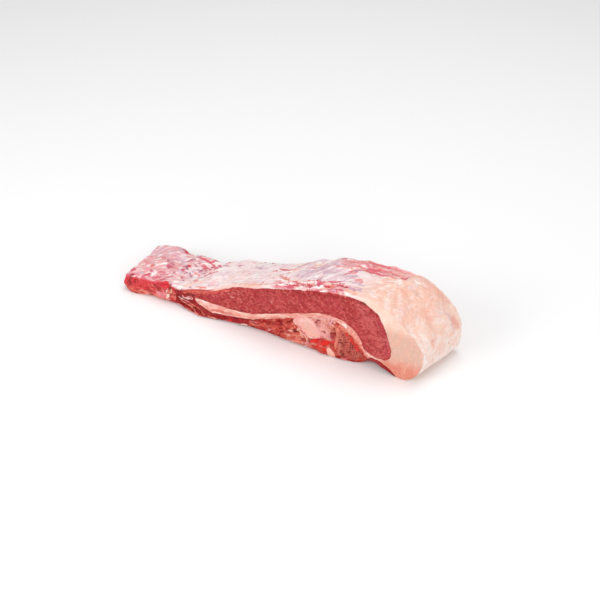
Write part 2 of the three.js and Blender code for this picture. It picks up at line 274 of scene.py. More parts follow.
ribMeat["strokes"] = [
    (-19, 15.6, -10, 17, 1.8, "maroon", 0.7, -0.6),
    (-10, 17.4, 0, 17.8, 2.0, "blood", 0.8, -0.5),
    (0, 17.8, 12, 21.8, 2.0, "blood", 0.75, -0.5),
    (12, 22, 34, 31, 1.5, "leanDark", 0.6, -0.4),
    (-17, 6.6, -5.3, 9.3, 1.7, "salmon", 0.85, 0.7),
    (-20, 11, -8, 13, 1.2, "pink", 0.6, 0.4),
    # painted shadow: the dark in the hole at the lower left, laid on a dent
    (-16, 1.8, -14.5, 1, 2.4, "maroon", 0.95, -1.6),
    (-4, 4.5, 0, 3.8, 2.4, "leanPlum", 0.7, -0.4),
    (6, 9.4, 9, 8.4, 2.2, "pink", 0.7, 0.7),
    (10, 3, 26, 5, 2.4, "leanDark", 0.5, 0.4),
    (14.8, 19.6, 16.4, 19.2, 1.7, "maroon", 0.75, -0.8),
    (23.6, 23.5, 25.2, 23.1, 1.7, "maroon", 0.8, -0.9),
    # painted shade: a dark crease line along the cartilage's upper left edge, laid on a groove
    (31, 27, 42, 35.5, 1.1, "maroon", 0.85, -1.0),
    (40, 29, 43, 26, 1.5, "salmon", 0.6, 0.4),
    (43, 22, 44.5, 19.5, 1.8, "maroon", 0.9, -1.3),
    (48, 24, 53, 16.5, 2.2, "peach", 0.9, 0.9),
    (30, 11, 36.5, 9.4, 1.6, "peach", 0.85, 0.9),
    (37, 13, 44, 12, 1.3, "salmon", 0.7, 0.6),
    (30, 0, 34, 2, 2.0, "maroon", 0.8, -1.0),
    (43, 5.4, 53, 5.8, 2.0, "salmon", 0.8, 0.6),
    (52.5, 6, 54, 5.6, 1.4, "palePink", 0.9, 0.8),
    (53.6, 10.9, 55.2, 10.5, 1.4, "maroon", 0.8, -1.0),
    (60, 12.4, 64, 12, 1.8, "maroon", 0.7, -0.9),
    (56, 5, 64, 7, 1.6, "salmon", 0.6, 0.5),
    (64, 11.5, 82, 12.5, 2.2, "bright", 0.45, 0.2),
    (101, 48, 112, 43, 3.0, "salmon", 0.95, 0.3),
    (112, 43, 121, 34, 1.6, "salmon", 0.9, 0.2),
    (66, 13.5, 72, 17, 2.8, "marrow", 0.9, -0.4),
    (72, 17, 75.5, 21.5, 2.6, "bright", 0.9, -0.3),
    (79, 15.2, 89.4, 18.9, 2.9, "marrow", 1.0, -0.7),
    (89, 19, 95, 23, 1.8, "bright", 0.8, -0.5),
    (72, 7.2, 75, 7.4, 2.4, "marrow", 0.85, 0.2),
    (81, 7, 84.5, 8, 2.2, "marrow", 0.75, 0.3),
    (68, 9, 72, 11, 1.4, "salmon", 0.8, 0.6),
    (77, 10, 80, 11.5, 1.3, "salmon", 0.8, 0.6),
    (84, 11, 90, 14, 1.6, "salmon", 0.8, 0.5),
    (72, 44.6, 73.6, 43.8, 1.8, "maroon", 0.85, -1.6),
    (88, 44, 92, 50.5, 2.0, "blush", 0.75, 0.6),
    (93.6, 41, 94.4, 38, 1.4, "maroon", 0.8, -1.0),
    (90.6, 34.6, 91.4, 33.6, 1.5, "maroon", 0.8, -1.0),
    (95.6, 35, 90.1, 24, 2.6, "blood", 0.8, -0.6),
    (81, 27, 83.5, 25, 1.5, "palePink", 0.7, 0.5),
    (80.5, 32.4, 82.5, 30.8, 1.4, "leanDark", 0.7, -0.8),
    (98.8, 46, 98.6, 30, 2.6, "salmon", 1.0, 0.5),
    (98.6, 30, 96.6, 15, 2.4, "salmon", 1.0, 0.4),
    (98, 3, 126, 1.5, 2.4, "blood", 0.7, -0.2),
    (104, 2, 112, 1, 1.2, "pink", 0.6, 0.5),
    (116, 37, 127, 24, 1.2, "salmon", 0.6, 0.2),
    (128, 20, 130, 8, 1.4, "blood", 0.6, -0.3),
]
ribMeat["mottles"] = [
    (60, (-20, 130), (0, 56), (0, 40), (2, 9), (1.0, 2.4),
     ["leanDark", "blood", "rim", "salmon", "meat"], (0.3, 0.7), 0.3),
    (46, (-20, 46), (0, 34), (-10, 50), (1, 5), (0.7, 1.4),
     ["leanDark", "maroon", "bright", "salmon", "blood"], (0.35, 0.8), 0.4),
    (24, (-18, 98), (2, 50), (-50, 60), (1, 4), (0.8, 1.5),
     ["maroon", "blood"], (0.4, 0.8), -0.9),
    (44, (62, 98), (24, 53), (-60, 60), (1, 5), (0.7, 1.3),
     ["salmon", "palePink", "leanDark", "pink", "peach"], (0.4, 0.8), 0.5),
    (44, (30, 66), (1, 24), (-10, 50), (1, 6), (0.8, 1.6),
     ["palePink", "salmon", "peach", "lean", "pink"], (0.4, 0.85), 0.6),
]
ribMeat["zones"] = [
    (66, 46, 94, 36, 9, "peach", 0.75),
    (72, 38, 88, 26, 7, "peach", 0.75),
    (34, 10, 62, 12, 8, "salmon", 0.6),
]
ribMeat["grounds"] = [
    (64, 44, 92, 42, 8, "salmon", 0.45, 0),
    (72, 38, 88, 28, 8, "blush", 0.4, 0),
    (60, 47, 94, 50, 4, "palePink", 0.4, 0),
    (36, 9, 62, 9, 7, "salmon", 0.6, 0),
    (64, 8, 84, 10, 5, "rim", 0.6, 0),
]
ribGristle = {"node": "rib_cartilage", "slot": "cartilage", "shade": "gristle"}
ribGristle["strokes"] = [
    (48, 36.5, 62, 41, 3.0, "palePink", 0.6, 0.2),
    (59, 34, 66, 27, 5.0, "beige", 0.5, 0),
    (62, 41, 72, 36, 2.4, "palePink", 0.6, 0.3),
    (72, 32, 79, 29, 2.6, "blush", 0.6, 0.1),
    (54, 28, 68, 22, 3.0, "peach", 0.4, 0),
    (60, 19, 68, 19, 1.8, "cream", 0.6, 0.3),
    (45.6, 31.6, 53.8, 21.6, 1.3, "rosy", 0.75, -0.3),
    (53.8, 21.6, 60, 16.6, 1.3, "rosy", 0.75, -0.3),
    (72, 19, 79, 25, 1.2, "marrow", 0.5, -0.2),
    (70, 37, 79, 28, 0.9, "rosy", 0.4, -0.2),
]
tipGristle = {"node": "cartilage_tip", "slot": "cartilage", "shade": "peach"}
tipGristle["strokes"] = [
    (86, 5.5, 88, -3, 1.5, "maroon", 0.8, -0.6),
    (88, 11, 92, 6, 1.6, "cream", 0.5, 0.3),
    (93, 4, 96, 0, 1.8, "pink", 0.6, 0),
    (90, 4, 92, 1, 1.6, "beige", 0.6, 0),
]
breastbone = {"node": "breastbone", "slot": "spongy_bone", "shade": "bone"}
breastbone["strokes"] = [
    (102, 26, 106, 21, 2.6, "maroon", 0.5, -0.5),
    (103, 8, 107, 4, 2.2, "maroon", 0.55, -0.4),
    (115, 28, 119, 24, 2.6, "maroon", 0.5, -0.5),
    (110, 40, 114, 37, 2.0, "marrow", 0.9, 0.2),
    (115, 34, 119, 30, 2.2, "marrow", 0.85, 0.1),
    (119, 27, 126, 18, 2.2, "marrow", 0.75, 0),
    (114, 7, 128, 14, 1.8, "salmon", 0.45, 0.3),
    (106, 12, 118, 20, 2.0, "salmon", 0.3, 0.2),
    (103, 32, 108, 38, 2.0, "leanLight", 0.5, 0.1),
]
breastbone["zones"] = [
    (113, 37, 126, 22, 3, "marrow", 0.6),
    (101, 8, 101.6, 38, 2.2, "salmon", 0.85),
    (102, 5, 126, 8, 2.0, "lean", 0.6),
]
tailMuscle = {"node": "tail_muscle", "slot": "dark_muscle", "shade": "blood"}
tailMuscle["strokes"] = [
    (138, 11, 146, 13, 1.3, "lean", 0.6, 0.4),
    (146, 13, 158, 7, 1.0, "rosy", 0.45, 0.5),
    (150, 9, 166, 2, 1.2, "maroon", 0.6, -0.4),
]
outerFat = {"node": "fat_cap", "slot": "outer_fat", "shade": "veil"}
outerFat["strokes"] = [
    (-122, 22, -110, 23.5, 1.6, "maroon", 0.7, -0.6),
    (-110, 25, -88, 30.5, 1.8, "rim", 0.8, 0.2),
    (-82, 37.5, -66, 41.5, 1.6, "blush", 0.9, 0.5),
    (-66, 43, -48, 52, 1.8, "veil", 0.8, 0.3),
    (-40, 56, -10, 64, 2.2, "peach", 0.75, 0.3),
    (-10, 64, 20, 73, 1.6, "salmon", 0.6, 0.2),
    (20, 75, 60, 83, 1.6, "pink", 0.6, 0.3),
    (60, 85, 110, 92, 1.4, "palePink", 0.5, 0.3),
    (184, 2, 196, 5, 2.4, "salmon", 0.55, 0.4),
    (164, 14, 172, 12, 1.6, "salmon", 0.4, 0.2),
    (140, 17, 152, 15, 1.4, "palePink", 0.7, 0.4),
    (166, 66, 198, 44, 1.6, "peach", 0.35, 0.2),
]
outerFat["topStrokes"] = [  # the second and fourth numbers are depths here
    (-198, 66, -150, 60, 12, "lilac", 0.42, 0),
    (-160, 20, -148, 17, 3.5, "rosy", 0.7, 0.3),
    (-152, 36, -136, 29, 2.6, "rosy", 0.5, 0.4),
    (-176, 30, -174, 25, 2.2, "salmon", 0.9, 0.3),
    (-191, 35, -184, 30, 3.0, "pink", 0.8, 0.2),
    (-186, 24, -184, 22, 2.2, "rosy", 0.4, -0.2),
    (-174, 53, -168, 45, 2.6, "rosy", 0.6, -0.3),
    (-163, 48, -156, 44, 4.0, "mauve", 0.35, -0.4),
    (-150, 58, -143, 50, 4.0, "lilac", 0.6, 0),
    (-160, 76, -151, 75, 3.0, "bright", 0.9, -0.3),
    (-162, 77, -156, 76, 2.0, "leanPlum", 0.6, 0),
    (-168, 76, -160, 73, 2.4, "lilac", 0.8, 0),
    (-141, 63, -135, 61, 3.0, "mauve", 0.65, -0.6),
    (-139, 70, -112, 69, 2.6, "rosy", 0.95, -0.3),
    (-116, 68, -98, 66, 2.4, "rosy", 0.9, -0.3),
    (-134, 49, -132, 45, 2.0, "bright", 0.85, -0.8),
    (-134, 41, -131, 39, 2.2, "mauve", 0.8, -0.8),
    (-129, 42, -127, 38, 1.6, "white", 0.8, 1.0),
    (-124, 57, -112, 56, 2.2, "rosy", 0.6, 0.4),
    (-122, 47, -108, 47, 2.0, "mauve", 0.75, -0.8),
    (-119, 41, -114, 39, 2.6, "pink", 0.7, 0.4),
    (-99, 58, -96, 54, 2.6, "rosy", 0.7, 0.3),
    (-103, 37, -91, 45, 3.4, "rosy", 0.8, -0.6),
    (-112, 52, -96, 50, 4.0, "pink", 0.5, 0.3),
    (-124, 36, -121, 32, 2.0, "mauve", 0.6, -0.4),
    (-110, 21, -104, 20, 3.0, "rosy", 0.75, 0.3),
    (-111, 15, -108, 12, 2.0, "pink", 0.7, 0),
    (-106, 6, -98, -1, 1.2, "mauve", 0.6, -0.5),
    (-120, 3, -114, 1, 3.4, "white", 0.7, 0.5),
    (-83, 13, -80, 11, 2.0, "lilac", 0.7, -0.3),
    (-94, 1, -79, 0, 2.4, "salmon", 0.75, 0),
    (-78, 6, -76, 2, 1.6, "mauve", 0.6, -0.3),
    (-52, 38, -36, 24, 9, "peach", 0.2, 0.4),
    (-40, 60, -28, 58, 4.5, "lilac", 0.6, 0),
    (-14, 49, -6, 46, 3.0, "rosy", 0.8, -0.3),
    (-6, 56, 10, 49, 4.0, "rosy", 0.95, -0.4),
    (10, 52, 18, 48, 3.0, "pink", 0.9, 0),
    (-40, 2, 8, 3, 4.0, "peach", 0.8, 0),
    (-26, 10, -14, 8, 4.0, "palePink", 0.7, 0.2),
    (-4.6, 2.8, -4, 9, 1.5, "rosy", 0.85, -0.4),
    (-9, 26.6, -1, 26, 2.2, "magenta", 0.8, -0.3),
    (10, 31, 13.5, 41, 1.6, "rosy", 0.8, -0.3),
    (11, 24.5, 25, 17.2, 2.4, "salmon", 0.85, -0.3),
    (3, 22, 6, 12, 1.0, "mauve", 0.5, -0.3),
    (20, 38, 30, 22, 4.0, "white", 0.5, 0.3),
    (36, 26, 46, 44, 5.0, "lilac", 0.75, -0.4),
    (48, 36, 60, 55, 3.6, "lilac", 0.75, 0.3),
    (50, 46, 56, 52, 2.2, "mauve", 0.4, -0.4),
    (40, 60, 49, 60, 3.0, "ochre", 0.5, 0),
    (30, 52, 44, 51, 3.4, "pink", 0.75, 0),
    (66, 40, 78, 46, 3.6, "lilac", 0.5, -0.3),
    (85, 40, 91, 54, 1.8, "rosy", 0.7, -0.3),
    (90, 42, 96, 50, 1.3, "pink", 0.8, 0),
    (70, 74, 94, 70, 3.0, "pink", 0.7, 0),
    (94, 66, 142, 62, 1.6, "rosy", 0.7, -0.3),
    (100, 70, 140, 68, 1.2, "palePink", 0.7, 0.3),
    (96, 75, 142, 74, 1.8, "rosy", 0.5, -0.3),
    (96, 70, 102, 62, 1.4, "rosy", 0.6, -0.3),
    (104, 57, 138, 53, 1.4, "rosy", 0.6, 0),
    (110, 60, 132, 57, 1.0, "veil", 0.6, 0.2),
    (140, 70, 142, 58, 1.6, "rosy", 0.5, -0.3),
    (60, 60, 84, 60, 4.5, "lilac", 0.35, 0),
    (100, 34, 108, 30, 4.0, "pink", 0.85, 0),
    (96, 26, 114, 24, 3.0, "lilac", 0.55, -0.3),
    (107, 12, 116, 11, 4.0, "lilac", 0.75, 0.2),
    (104, 17, 116, 17, 1.0, "mauve", 0.5, -0.3),
    (111.5, 9.6, 112.5, 9, 1.5, "leanPlum", 0.8, -0.9),
    (104, 3, 122, 2, 3.0, "peach", 0.7, 0.3),
    (-126, 2, -123, 3, 1.6, "white", 0.9, 0.5),
    (-111, 0.3, -117, -5, 1.0, "mauve", 0.6, -0.4),
    (-142, -2.5, -131, -2, 2.6, "bright", 0.95, 0.8),
    (-129.6, -3, -129.6, 0.5, 1.2, "maroon", 0.8, -0.6),
    (-189, -3, -188.6, 0, 1.8, "maroon", 0.8, -0.8),
    (-182, -3, -181.8, -0.5, 1.3, "blood", 0.7, -0.5),
    # the torn front edge, first its gaps, red flesh painted darker as shade beneath the curls, and then its
    # curls
    (57, 3.4, 66, 6, 1.4, "leanDark", 0.95, -1.2),
    (50.5, 4.7, 53, 4.7, 1.5, "maroon", 0.95, -1.4),
    (31, 2.6, 33.5, 2.8, 1.2, "maroon", 0.75, -1.0),
    (43.5, 3.8, 45.5, 3.8, 1.3, "maroon", 0.8, -1.2),
    (44, 15.2, 56, 17, 1.5, "rosy", 0.95, -0.3),
    (55, 17.3, 72, 17.2, 1.9, "bright", 0.95, -0.3),
    (72, 17.2, 93, 22, 1.9, "rosy", 0.95, -0.3),
    (64.5, 11.4, 68, 11, 2.0, "magenta", 0.95, 0.2),
    (75.4, 7.1, 83, 9.1, 1.7, "bright", 0.95, -0.5),
    (85.4, 7.2, 86, 11.7, 2.0, "salmon", 0.9, 0.4),
    (87.4, 13.7, 102.5, 11.4, 2.0, "bright", 0.95, -0.6),
    (94, 12.6, 103, 11.4, 1.2, "blood", 0.8, -0.5),
    (18, 8.1, 25.5, 7.5, 1.7, "rosy", 0.95, -0.4),
    (19.5, -3.4, 31, -4.5, 2.0, "pink", 0.9, 0),
    (32, -2, 42.5, -2.6, 2.2, "magenta", 0.95, 0.6),
    (13, 0.4, 19, 0.4, 1.2, "white", 0.95, 1.2),
    (18, 0.4, 31, 0.8, 1.6, "white", 1.0, 1.8),
    (10.5, 15.5, 25.5, 13.2, 1.8, "white", 0.95, 0.8),
    (10.5, 15, 13.4, 1.5, 1.2, "palePink", 0.9, 0.8),
    (31, 1, 35.5, 6, 1.2, "white", 0.95, 1.0),
    (33.6, 6.4, 37.4, 6.1, 2.4, "white", 1.0, 1.6),
    (27, 10.8, 32, 10.6, 2.2, "veil", 0.95, 0.5),
    (45.5, 10.2, 63.5, 11.6, 2.5, "white", 1.0, 2.0),
    (50, 13.4, 57, 13.6, 1.4, "ochre", 0.7, 0.6),
    (43, -1.4, 52, 0.8, 1.5, "palePink", 0.95, 1.0),
    (51, -2.6, 62, -2.4, 1.5, "palePink", 0.95, 1.2),
    (61, -2.2, 75.5, 5.9, 1.7, "white", 1.0, 1.6),
    (73.8, 12.3, 81.5, 14, 2.1, "cream", 1.0, 1.4),
    (77, 2.2, 85, -1.9, 1.8, "cream", 1.0, 1.2),
    (88.4, 1.5, 94, -0.7, 1.7, "lilac", 0.95, 0.8),
    (83, -3, 97, -3.6, 1.4, "pink", 0.85, 0.8),
    (96.6, -0.4, 103.4, -4, 1.8, "palePink", 1.0, 1.2),
    (106, -0.4, 111, -2.2, 2.0, "white", 1.0, 1.2),
    (146, 76, 160, 73, 6, "orange", 0.4, 0),
    (148, 34, 154, 41, 5, "peach", 0.5, 0),
    (132, 48, 146, 46, 4, "white", 0.5, 0.3),
    (126, 16, 140, 8, 4, "white", 0.4, 0.3),
]
outerFat["topMottles"] = [
    # the flushed rib end
    (100, (-206, -138), (1, 79), (-30, 80), (2, 9), (1.0, 2.6),
     ["magenta", "pink", "white", "lilac", "white", "blush"], (0.4, 0.9), 0.25),
    (60, (-206, -140), (-2, 14), (-10, 40), (2, 9), (0.9, 2.0),
     ["rosy", "blush", "rosy", "magenta"], (0.5, 0.95), 0.25),
    # the neck
    (80, (-142, -92), (4, 79), (35, 70), (3, 12), (0.9, 2.2),
     ["magenta", "mauve", "white", "white", "palePink", "lilac"], (0.4, 0.9), 0.35),
    (34, (-146, -92), (50, 79), (-10, 30), (3, 12), (0.9, 2.0),
     ["rosy", "magenta", "mauve", "white"], (0.5, 0.95), 0.3),
    # the white middle
    (90, (-124, 20), (-2, 79), (30, 62), (5, 20), (1.0, 2.8),
     ["white", "white", "veil", "palePink", "cream"], (0.4, 0.9), 0.3),
    (34, (-100, 30), (4, 79), (24, 58), (3, 12), (0.8, 1.8),
     ["pink", "magenta", "palePink", "blush"], (0.3, 0.7), 0.1),
    # the streaks towards the back
    (66, (6, 92), (16, 70), (48, 66), (6, 24), (0.9, 2.2),
     ["lilac", "lilac", "white", "white", "palePink", "mauve"], (0.4, 0.85), 0.3),
    # the pink strip along the back
    (110, (62, 124), (54, 79), (-14, 4), (7, 22), (0.7, 1.5),
     ["rosy", "rosy", "palePink", "salmon", "blush", "blush"], (0.5, 0.95), 0.25),
    # the torn front edge, red with curls of white fat
    (84, (18, 104), (-5, 15), (0, 20), (6, 18), (0.8, 1.7),
     ["rosy", "bright", "magenta", "rosy", "blush"], (0.6, 1.0), -0.5),
    (30, (12, 108), (-5, 14), (-4, 20), (6, 16), (0.9, 1.3),
     ["white", "palePink", "pink", "cream"], (0.75, 1.0), 1.1),
    # the cream end
    (50, (118, 190), (-2, 79), (30, 110), (6, 20), (1.8, 4.6),
     ["peach", "white", "palePink", "cream", "beige"], (0.12, 0.3), 0.5),
    (14, (124, 190), (4, 76), (60, 120), (6, 18), (4, 7),
     ["peach", "white", "palePink"], (0.12, 0.26), 0.2),
]
outerFat["zones"] = [
    (150, 10, 196, 6, 9, "orange", 0.45),
    (168, 20, 172, 60, 9, "beige", 0.4),
]
outerFat["endZones"] = [  # on the thick end: depth and height, twice, half width, shade, strength
    (20, 44, 31, 53, 3.2, "salmon", 0.55),
    (65, 57, 71, 38, 4.0, "salmon", 0.5),
    (61, 64, 62, 38, 2.4, "lilac", 0.45),
    (40, 72, 31, 62, 5.0, "salmon", 0.25),
    (12, 56, 14, 38, 6.0, "white", 0.6),
    # painted highlight: white along the ridge where the sawn face meets the thick end, over the pale fat
    # there
    (3, 66, 4, 40, 2.6, "white", 0.7),
    (4, 40, 3, 8, 3.4, "white", 0.75),
    (10, 6, 76, 10, 9.0, "white", 0.5),
    (76, 84, 74, 74, 7.0, "orange", 0.2),
]
creamFrom = (100, 138)  # along x, from white to cream fat
outerFat["endFrom"] = (150, 180)  # where the thick end begins
outerFat["ridgeFrom"] = (130, 160)  # where the edges of the sawn fat stand up
outerFat["side"] = (0.3, 0.6)  # how much a point faces front or back to belong to its sides
# Washes over the whole of it, in turn: shade, strength, the faces it lies on, and the spans over which it
# comes in and fades out again. Fold is the place on the unrolled top, and lip the same on the front alone
backStrip = {"xFrom": (66, 96), "xTo": (136, 146), "depthFrom": (53, 60)}
outerFat["washes"] = [
    ("cream", 1.0, "all", {"xFrom": creamFrom}),
    ("pink", 0.75, "all", {"xTo": (-150, -100)}),
    ("lilac", 0.5, "outside",
     {"xFrom": (20, 36), "xTo": (80, 96), "depthFrom": (14, 24), "depthTo": (56, 66)}),
    ("pink", 0.8, "outside", backStrip),
    ("rosy", 0.6, "outside", backStrip),
    ("peach", 0.4, "outside", {"xFrom": creamFrom, "highFrom": (55, 80)}),
    ("white", 0.45, "outside", {"xFrom": creamFrom, "highTo": (10, 44)}),
    # the sawn face of the thick end is painted darker beige: its own cut fat, with painted shade on the face
    # turned from the light
    ("beige", 1.0, "sides", {"xFrom": (110, 150), "highTo": (56, 74)}),
    ("orange", 0.95, "sides", {"xFrom": (140, 160), "highTo": (14, 34)}),
    ("rosy", 0.7, "sides", {"xTo": (-136, -126)}),
    ("bright", 0.95, "sides", {"xTo": (-136, -126), "lipTo": (-3.2, 0.5)}),
    ("meat", 1.0, "sides", {"xFrom": (-130, -122), "xTo": (-76, -60), "foldTo": (-3.9, -2.7)}),
    ("peach", 0.6, "sides", {"xFrom": (-76, -60), "xTo": (-10, 10)}),
    ("rosy", 0.95, "top", {"xFrom": (6, 22), "xTo": (100, 114), "foldTo": (10, 18)}),
    ("lean", 0.5, "under", {"xTo": creamFrom}),
]

# The pieces are cut out of one body in this order, and the outer fat is what stays of it
cutOrder = [
    breastbone, ribGristle, tipGristle, deepMuscle, tailMuscle, endMuscle, seamFat, darkMuscle, ribMeat,
]

# The smooth body that the pieces are cut from, in mm
body = {
    "grid": 1.0,
    "quickGrid": 1.4,
    "swell": 0.4,  # closes the gaps between the layers
    "smoothing": 12,
    "wander": ((7.0, 0.55), (2.6, 0.3)),  # of the layers' borders: size and reach
    "wanderStretch": (1, 2.5, 1),
    "farthest": 8,  # how far from a point its layers are looked for
    "straying": ((6.0, 3.0), (2.6, 2.0)),  # of the strokes' edges: size and reach
    "reliefFrom": 2.2,  # full relief this far inside a layer
    "groove": 0.55, "grooveHalf": 1.0,  # where two layers meet
    "ridge": 0.8,  # along the edges of the sawn fat
    "flatUnder": 0.85,  # how much of the relief the underside loses
    "overEdge": 4.5,  # how far the top's look reaches down the sawn front
    "edgeFrom": -204, "edgeTo": 212, "edgeStep": 4, "edgeBand": 3,  # where the height of that edge is read
    "crumb": 60,  # a loose part with no more points than this is dropped
    "ribsFrom": -20, "footFrom": 132,  # places along the strip
}
# The solids that cut it, pushed out past its surface where they end on it
cutters = {
    "grid": 1.3, "swell": 0.3, "smoothing": 4, "out": 6,
    "sawnDepth": 14,  # how near to a sawn face their ends lie
    "lowUpTo": 6.5, "endUpTo": -184,
    "facing": 0.5, "facingDown": 0.6,  # how much a facet faces that way to be pushed
}
# How much a point faces one way to belong to a sawn face or to the underside, and how high the underside goes
facing = {"sawn": (0.5, 0.8), "under": (0.3, 0.7), "underUpTo": (8, 14)}
# How strokes are drawn
drawing = {
    "strayHalf": 2.4,  # those narrower than this stray less
    "firm": 0.95, "firmStray": 0.45,  # and so do the strongest
    "taper": 0.6, "taperFrom": 5,  # long ones narrow towards their ends
    "relief": 0.5, "mark": 0.45, "zone": 0.7, "endZone": 0.8,  # how soft their edges are
    "broad": 6, "broadMark": 0.9,  # and from this half width on
    "topSeed": 11,
}
fullSwing = 1.6  # brings a cloud to about -1 to 1
grid = mm * body["grid"]


def only(*pieces):
    bpy.ops.object.select_all(action="DESELECT")
    for piece in pieces:
        piece.select_set(True)
    bpy.context.view_layer.objects.active = pieces[-1]


def use(piece, kind, **settings):
    only(piece)
    bpy.ops.object.modifier_add(type=kind)
    modifier = piece.modifiers[-1]
    for setting, value in settings.items():
        setattr(modifier, setting, value)
    bpy.ops.object.modifier_apply(modifier=modifier.name)


def copyOf(node, name):
    only(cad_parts[node])
    bpy.ops.object.duplicate()
    piece = bpy.context.view_layer.objects.active
    piece.name = name
    piece.parent = None
    bpy.ops.object.mode_set(mode="EDIT")
    bpy.ops.mesh.select_all(action="SELECT")
    bpy.ops.mesh.remove_doubles(threshold=1e-6)
    bpy.ops.object.mode_set(mode="OBJECT")
    return piece


def pointsOf(piece):
    flat = np.empty(3 * len(piece.data.vertices))
    piece.data.vertices.foreach_get("co", flat)
    return flat.reshape(-1, 3)


def normalsOf(piece):
    flat = np.empty(3 * len(piece.data.vertices))
    piece.data.vertex_normals.foreach_get("vector", flat)
    return flat.reshape(-1, 3)


def movePoints(piece, points):
    piece.data.vertices.foreach_set("co", points.ravel())
    piece.data.update()


def wander(points):  # how far a layer's border strays at each point
    strays = np.zeros_like(points)
    for axis in (0, 2):
        for size, reach in body["wander"]:
            lumps = cloud(points, size, body["wanderStretch"], seed=3 + axis)
            strays[:, axis] += mm * reach * fullSwing * lumps
    return strays


def makeBody():
    copies = [copyOf(node, "copy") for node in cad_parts]
    for piece in copies:
        use(piece, "DISPLACE", strength=mm * body["swell"], mid_level=0)
    only(*copies)
    bpy.ops.object.join()
    whole = bpy.context.view_layer.objects.active
    whole.name = "whole"
    use(whole, "REMESH", mode="VOXEL", voxel_size=grid)
    rounds = body["smoothing"] * (mm * body["grid"] / grid) ** 2
    use(whole, "SMOOTH", factor=0.5, iterations=round(rounds))
    return whole


def makeCutter(piece):
    cutter = copyOf(piece["node"], piece["node"] + "_cutter")
    points = pointsOf(cutter)
    x, depth, high = stripPlaces(points)
    push = {axis: np.zeros(len(points)) for axis in (0, 1, 2)}
    for polygon in cutter.data.polygons:
        corners = list(polygon.vertices)
        nx, ny, nz = polygon.normal
        if ny < -cutters["facing"] and depth[corners].max() < cutters["sawnDepth"]:
            push[1][corners] = -1
        if ny > cutters["facing"] and depth[corners].min() > strip["depth"] - cutters["sawnDepth"]:
            push[1][corners] = 1
        low = high[corners].max() < cutters["lowUpTo"] and piece is not breastbone
        if nz < -cutters["facingDown"] and low:
            push[2][corners] = -1
        if nx < -cutters["facing"] and x[corners].max() < cutters["endUpTo"]:
            push[0][corners] = -1
    for axis in (0, 1, 2):
        points[:, axis] += mm * cutters["out"] * push[axis]
    movePoints(cutter, points)
    use(cutter, "DISPLACE", strength=mm * cutters["swell"], mid_level=0)
    use(cutter, "REMESH", mode="VOXEL", voxel_size=mm * cutters["grid"])
    use(cutter, "SMOOTH", factor=0.5, iterations=cutters["smoothing"])
    points = pointsOf(cutter)
    movePoints(cutter, points + wander(points))
    return cutter


# Each body point's layer, and how far the next nearest one is from being its own
def layersOf(points):
    graph = bpy.context.evaluated_depsgraph_get()
    trees = {name: BVHTree.FromObject(node, graph) for name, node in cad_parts.items()}
    spots = [Vector(spot) for spot in (points - wander(points)).tolist()]
    farthest = mm * body["farthest"]
    distances = np.full((len(trees), len(spots)), farthest)
    for row, tree in enumerate(trees.values()):
        for column, spot in enumerate(spots):
            distance = tree.find_nearest(spot, farthest)[3]
            if distance is not None:
                distances[row, column] = distance
    order = np.sort(distances, axis=0)
    return np.array(list(trees))[distances.argmin(axis=0)], (order[1] - order[0]) / mm


def facings(points, normals):  # shares of a point's surface: sawn front, sawn back, outside, underside
    high = points[:, 2] / mm
    front = smooth(-normals[:, 1], *facing["sawn"])
    back = smooth(normals[:, 1], *facing["sawn"])
    under = smooth(-normals[:, 2], *facing["under"]) * (1 - smooth(high, *facing["underUpTo"]))
    outside = np.clip(1 - front - back - under, 0, 1)
    return front, back, outside, under


# How strongly a stroke covers each of the places given by two coordinates
def cover(a, b, straying, stroke, soft):
    x1, y1, x2, y2, half = stroke[:5]
    wild = min(half / drawing["strayHalf"], 1)
    if stroke[6] >= drawing["firm"]:
        wild *= drawing["firmStray"]
    a, b = [value + strays * wild for value, strays in zip((a, b), straying)]
    along = np.array((x2 - x1, y2 - y1), float)
    length = max(float(np.hypot(*along)), 1e-6)
    share = np.clip(((a - x1) * along[0] + (b - y1) * along[1]) / length ** 2, 0, 1)
    away = np.hypot(a - x1 - share * along[0], b - y1 - share * along[1])
    taper = drawing["taper"] * min(length / (drawing["taperFrom"] * half), 1) * (2 * share - 1) ** 2
    return 1 - smooth(away / half / (1 - taper), 1 - soft, 1 + soft)


def strayings(points):  # how far a stroke's edges stray, in its two directions
    return np.array([sum(reach * cloud(points, size, seed=5 + number) for size, reach in body["straying"])
                     for number in range(2)])


# The top as a sheet folded down over its front edge: how far back each point lies on it, less than 0 on the
# sawn face under the edge, and how much it belongs to it
def unroll(x, depth, high, front, outside):
    below = np.interp(x, *body["edge"]) - high
    fold = np.where(front > 0.5, np.minimum(depth, 0) - np.maximum(below, 0), depth)
    top = np.clip(outside + front * smooth(fold, -body["overEdge"] - 1, -body["overEdge"]), 0, 1)
    return fold, top


def findEdge(x, depth, high):  # the height of the top's front edge along x
    band = body["edgeBand"]
    near = np.abs(depth - band) < band
    places = np.arange(body["edgeFrom"], body["edgeTo"], body["edgeStep"])
    heights = [high[near & (np.abs(x - place) < band)].max(initial=0) for place in places]
    body["edge"] = (places, heights)


def scattered(kinds, seed):  # short strokes at random places, the same on each run
    draw = random.Random(seed)
    strokes = []
    for count, across, along, turns, lengths, halves, choice, strengths, rise in kinds:
        for _ in range(count):
            a, b = draw.uniform(*across), draw.uniform(*along)
            turn = math.radians(draw.uniform(*turns))
            long = draw.uniform(*lengths)
            half = draw.uniform(*halves)
            shade = draw.choice(choice)
            strength = draw.uniform(*strengths)
            c, d = a + long * math.cos(turn), b + long * math.sin(turn)
            strokes.append((a, b, c, d, half, shade, strength, rise))
    return strokes


pieces = cutOrder + [outerFat]
for number, piece in enumerate(pieces):
    mottles = scattered(piece.get("mottles", []), number)
    piece["strokes"] = piece.get("grounds", []) + mottles + piece["strokes"]
outerFat["topStrokes"] = scattered(outerFat["topMottles"], drawing["topSeed"]) + outerFat["topStrokes"]

